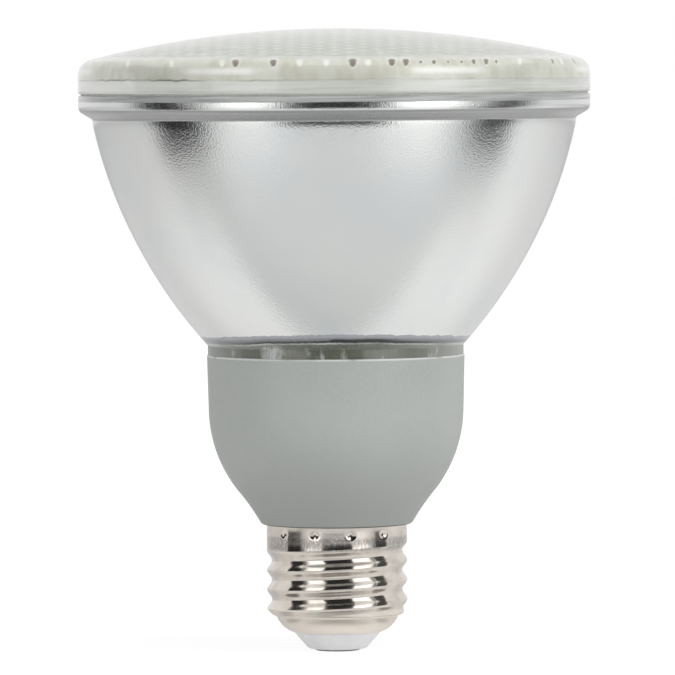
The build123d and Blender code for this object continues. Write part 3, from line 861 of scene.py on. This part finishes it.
def card(name, distance, azimuths, levels, glow, foot_glow=None, spread=card_spread, fade=0):
    """An upright card bent round the bulb: azimuth runs from the camera's side towards the right, in degrees.
    Its edges spread with height, by spread |azimuth|^1.5 (z / distance)^2 degrees, so that the rolled thread
    shows them upright. It may be lighter at its foot, where the paper lights it, and may fade to dark over
    its outermost degrees."""
    a, z = np.meshgrid(np.linspace(*azimuths, 33), np.linspace(*levels, 9))
    lit = smooth(fade_start, fade, np.abs(azimuths).max() - np.abs(a))
    a = np.radians(a + np.copysign(spread * np.abs(a) ** 1.5 * (z / distance) ** 2, a)) - pi / 2
    made = stage_sheet(name, np.stack([distance * np.cos(a), distance * np.sin(a), z], -1))
    mark(made, "lit", lit.ravel())
    f = material(name)
    tone = f.blend(grey(foot_glow or glow), grey(glow), f.coordinates()[2].above(*card_foot))
    tone = f.blend(grey(card_edge), tone, f.marked("lit"))
    made.data.materials.append(f.done(f.node("ShaderNodeEmission", None, {"Color": tone})))
    made.visible_camera = made.visible_diffuse = made.visible_shadow = made.visible_transmission = False


def ray_kinds(f):
    """1 for rays from the camera, and 1 for rays that come off a shiny surface or through glass."""
    camera_ray = f.node("ShaderNodeLightPath", output="Is Camera Ray")
    glossy_ray = camera_ray.at("Is Glossy Ray")
    return camera_ray, camera_ray.math("MAXIMUM", glossy_ray, camera_ray.at("Is Transmission Ray"))


def mirrored_paper(f, x, y, away):
    """The paper's tone as shiny surfaces see it, with light and shade painted on by its direction in degrees
    from the camera's side and its distance in millimetres."""
    turn = x.math("ARCTAN2", abs(x), 0 - y) * (180 / pi)
    right = x.above(-60, 60)
    sector = 0 - y - abs(x) * 0.25 - right * 6 - 24
    # White beside the bulb, fading with painted shade on the left and behind
    beside = f.blend(grey(1.08), f.blend(grey(0.83), grey(1.02), right), away.above(50, 260))
    beside = f.blend(grey(1.14), beside, away.above(12, 60))
    beside = f.blend(beside, grey(0.84), turn.above(95, 145) * 0.75)
    # A little greyer in front of it with painted shade, white again below the soft lights there as painted
    # pools of light, and dark far off with painted shade
    before = f.blend((0.74, 0.75, 0.755, 1), (0.82, 0.83, 0.83, 1), right)
    before = f.blend(before, (0.795, 0.805, 0.815, 1), sector.above(0, 60))
    lights = f.blend(grey(1.08), grey(1.15), right)
    before = f.blend(before, lights, turn.above(8, 36) * turn.below(42, 60) * away.above(110, 270))
    before = f.blend(before, grey(0.06), turn.below(20, 27) * away.above(300, 430))
    tone = f.blend(beside, before, sector.above(-2, 2) * away.above(12, 32))
    # Dim towards the feet of the dark cards at the sides
    tone = f.blend(tone, grey(0.5), turn.above(52, 70) * turn.below(74, 96) * away.above(45, 325))
    # Rings of painted shadow close to the bulb, which the thread's grooves show as thin lines
    tone = f.blend(tone, grey(0.68), turn.below(32, 62) * away.near(15.4, 3.4))
    lines = turn.below(18, 28) + turn.above(54, 64) * turn.below(84, 96)
    return f.blend(tone, grey(0.32), lines * away.near(17.2, 2.4))


def paper():
    """White paper. The camera sees it plain white, with a faint shadow near the bulb, shiny surfaces see it
    with painted light and shade by its place, and all other light sees plain paper that glows faintly."""
    f = material("white paper")
    x, y, z = f.coordinates()
    away = x.math("SQRT", x * x + y * y)
    tone = mirrored_paper(f, x, y, away)
    flat = {"Roughness": 1.0, "Specular_IOR_Level": 0.0}
    mirrored = f.principled(Base_Color=f.blend(grey(0), tone, 0.675), Emission_Color=tone,
                            Emission_Strength=0.3, **flat)
    white = f.blend(grey(0.9), grey(1), away.above(200, 900))
    seen = f.principled(Base_Color=grey(0.16), Emission_Color=white, Emission_Strength=1.0, **flat)
    other = f.principled(Base_Color=grey(0.75), Emission_Color=grey(1), Emission_Strength=0.18, **flat)
    camera_ray, shiny_ray = ray_kinds(f)
    return f.done(f.mixed(f.mixed(other, mirrored, shiny_ray), seen, camera_ray))


def sky():
    """White where it is seen, straight or in glass and metal, and dimmer as plain light."""
    world = bpy.data.worlds.new("studio")
    f = Finish(world)
    camera_ray, shiny_ray = ray_kinds(f)
    strength = camera_ray.math("MAXIMUM", camera_ray, shiny_ray) * 0.65 + 0.35
    return f.done(f.node("ShaderNodeBackground", None, {"Color": (1, 1, 1, 1), "Strength": strength}),
                  "ShaderNodeOutputWorld")


def soft_light(name, azimuth, elevation, distance, width, tall, power):
    """A rectangular soft light that faces the bulb's middle."""
    light = bpy.data.lights.new(name, "AREA")
    light.shape = "RECTANGLE"
    light.size, light.size_y, light.energy = width, tall, power
    lamp = bpy.data.objects.new(name, light)
    bpy.context.scene.collection.objects.link(lamp)
    a, e = radians(azimuth - 90), radians(elevation)
    middle = Vector((0, 0, top_z * MM / 2))
    lamp.location = middle + distance * Vector((cos(a) * cos(e), sin(a) * cos(e), sin(e)))
    lamp.rotation_euler = (middle - lamp.location).to_track_quat("-Z", "Y").to_euler()
    lamp.visible_camera = lamp.visible_glossy = False


floor_x, floor_y = np.meshgrid([-floor_reach, floor_reach], [-floor_reach, floor_reach])
floor = stage_sheet("floor", np.stack([floor_x, floor_y, np.zeros_like(floor_x)], -1))
floor.data.materials.append(paper())
bpy.context.scene.world = sky()
card("backdrop", 2.5, (105, 255), (0, 2.2), glow=0.91, spread=0)
card("camera side", 1.0, (-24, 25), (0, 2.8), glow=0.03)
card("left gap", 0.25, (-87, -60), (0, 0.3), glow=0.03, foot_glow=0.6)
card("right gap", 0.25, (64, 86), (0, 0.3), glow=0.08, foot_glow=0.6)
card("left box", 1.2, (-61, -25), (0, 1.6), glow=1.7, fade=13)
card("right box", 1.2, (27, 64), (0, 1.6), glow=2.0, fade=13)
soft_light("left light", -41, 30, 1.4, 0.85, 1.9, power=5.0)
soft_light("right light", 54, 30, 1.4, 0.8, 1.9, power=11.0)
soft_light("top light", 0, 88, 1.3, 1.0, 1.0, power=6.0)

# Camera: level with the lens, looking slightly down, from far off
camera = bpy.data.objects.new("camera", bpy.data.cameras.new("camera"))
bpy.context.scene.collection.objects.link(camera)
camera.data.lens = camera_lens
camera.data.sensor_width = 36
camera.location = camera_place
look = (Vector(camera_aim) - camera.location).to_track_quat("-Z", "Y").to_matrix()
camera.rotation_euler = (look @ Matrix.Rotation(camera_roll, 3, "Z")).to_euler()
bpy.context.scene.camera = camera
bpy.context.scene.view_settings.view_transform = "Standard"
